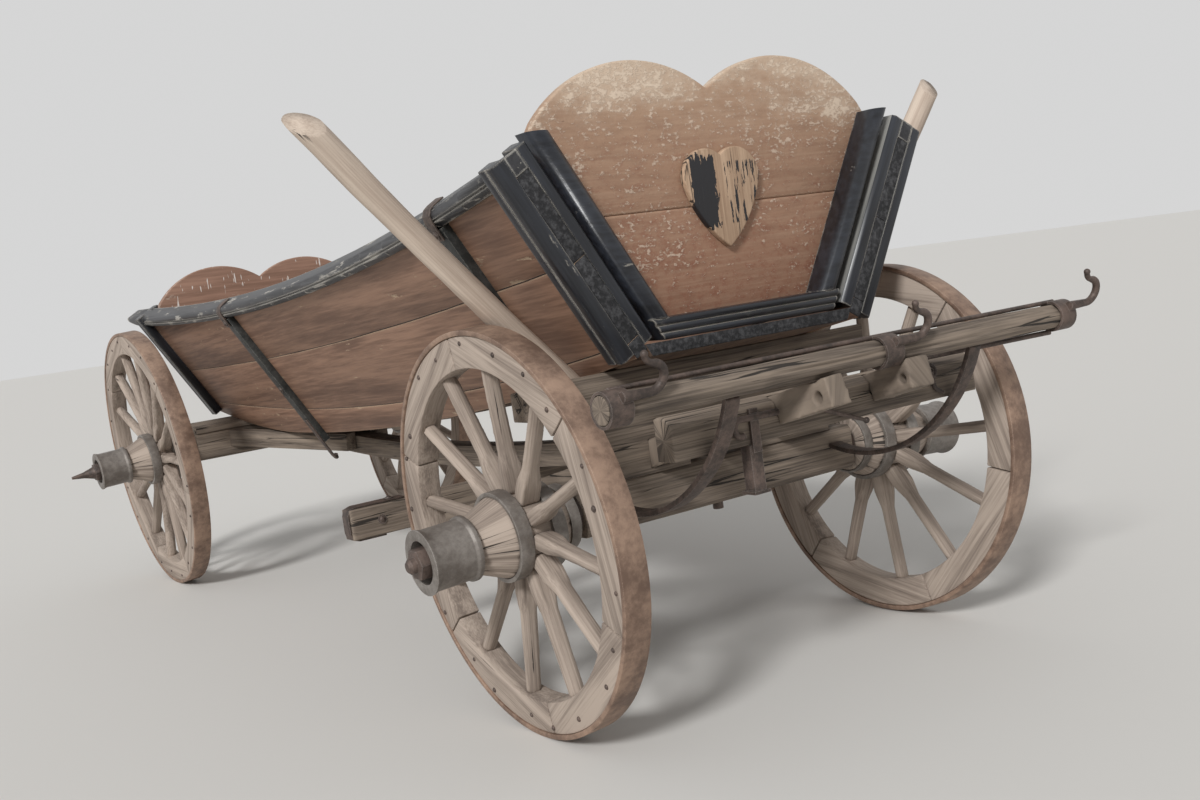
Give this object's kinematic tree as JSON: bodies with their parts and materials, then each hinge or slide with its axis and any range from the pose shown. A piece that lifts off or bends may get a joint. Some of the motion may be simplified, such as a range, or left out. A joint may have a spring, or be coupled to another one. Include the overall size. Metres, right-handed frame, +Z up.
{
  "type": "farm hay wagon",
  "caption": "Horse-drawn farm hay wagon with a boat-shaped plank box, heart-topped end boards, spoked wooden wheels with iron tyres and a turning front axle.",
  "frame": {"origin": "on the ground under the middle of the wagon's overall box", "axes": "-Y is the front of the wagon, +X is right seen from the front, +Z is up"},
  "size_m": [1.9208, 4.0149, 1.4464],
  "materials": {
    "brown_paint": "worn brown paint on planks",
    "black_paint": "worn black paint, edges rubbed bare",
    "bare_boards": "unpainted weathered boards",
    "wheel_wood": "grey-beige weathered wood",
    "gear_wood": "grey-brown weathered timber",
    "peeled_pole": "peeled pale pole",
    "tyre_iron": "rusty iron worn by the road",
    "hub_iron": "grey forged iron",
    "forged_iron": "dark forged iron, some rust"
  },
  "bodies": {
    "wagon": {"bottom_plank_left": "brown_paint", "bottom_plank_right": "brown_paint", "middle_plank_left": "brown_paint", "middle_plank_right": "brown_paint", "top_plank_left": "brown_paint", "top_plank_right": "brown_paint", "rail_left": "black_paint", "rail_right": "black_paint", "floor": "bare_boards", "front_board_lower": "brown_paint", "front_board_upper": "brown_paint", "front_battens": "black_paint", "front_heart": "brown_paint", "rear_board_lower": "brown_paint", "rear_board_upper": "brown_paint", "rear_battens": "black_paint", "end_strips_left": "black_paint", "end_strips_right": "black_paint", "stanchions_left": "forged_iron", "stanchions_right": "forged_iron", "reach_pole": "gear_wood", "rear_hounds": "gear_wood", "rear_axle": "gear_wood", "rear_bolster": "gear_wood", "front_bolster": "gear_wood", "stake_left": "peeled_pole", "stake_right": "peeled_pole", "king_pin": "forged_iron", "upper_turn_plate": "forged_iron"},
    "front_gear": {"front_axle": "gear_wood", "turning_bolster": "gear_wood", "lower_turn_plate": "forged_iron", "futchels": "gear_wood", "sway_bar": "gear_wood", "cross_beam": "gear_wood", "splinter_bar": "gear_wood", "splinter_irons": "forged_iron", "front_brace_left": "forged_iron", "front_brace_right": "forged_iron", "gear_irons": "forged_iron"},
    "front_left_wheel": {"front_left_hub": "wheel_wood", "front_left_hub_irons": "hub_iron", "front_left_spokes": "wheel_wood", "front_left_felloes": "wheel_wood", "front_left_tyre": "tyre_iron"},
    "front_right_wheel": {"front_right_hub": "wheel_wood", "front_right_hub_irons": "hub_iron", "front_right_spokes": "wheel_wood", "front_right_felloes": "wheel_wood", "front_right_tyre": "tyre_iron"},
    "rear_left_wheel": {"rear_left_hub": "wheel_wood", "rear_left_hub_irons": "hub_iron", "rear_left_spokes": "wheel_wood", "rear_left_felloes": "wheel_wood", "rear_left_tyre": "tyre_iron"},
    "rear_right_wheel": {"rear_right_hub": "wheel_wood", "rear_right_hub_irons": "hub_iron", "rear_right_spokes": "wheel_wood", "rear_right_felloes": "wheel_wood", "rear_right_tyre": "tyre_iron"}
  },
  "joints": [
    {"name": "steering", "type": "hinge", "parent": "wagon", "child": "front_gear", "pos_m": [0, -1.3875, 0.68], "axis": [0, 0, 1], "range_deg": [-22, 22]},
    {"name": "front_left_wheel_turn", "type": "hinge", "parent": "front_gear", "child": "front_left_wheel", "pos_m": [-0.575, -1.3875, 0.46113], "axis": [-0.9981, 0, -0.061], "continuous": true},
    {"name": "front_right_wheel_turn", "type": "hinge", "parent": "front_gear", "child": "front_right_wheel", "pos_m": [0.575, -1.3875, 0.46113], "axis": [0.9981, 0, -0.061], "continuous": true},
    {"name": "rear_left_wheel_turn", "type": "hinge", "parent": "wagon", "child": "rear_left_wheel", "pos_m": [-0.575, 1.4925, 0.51602], "axis": [-0.9981, 0, -0.061], "continuous": true},
    {"name": "rear_right_wheel_turn", "type": "hinge", "parent": "wagon", "child": "rear_right_wheel", "pos_m": [0.575, 1.4925, 0.51602], "axis": [0.9981, 0, -0.061], "continuous": true}
  ]
}
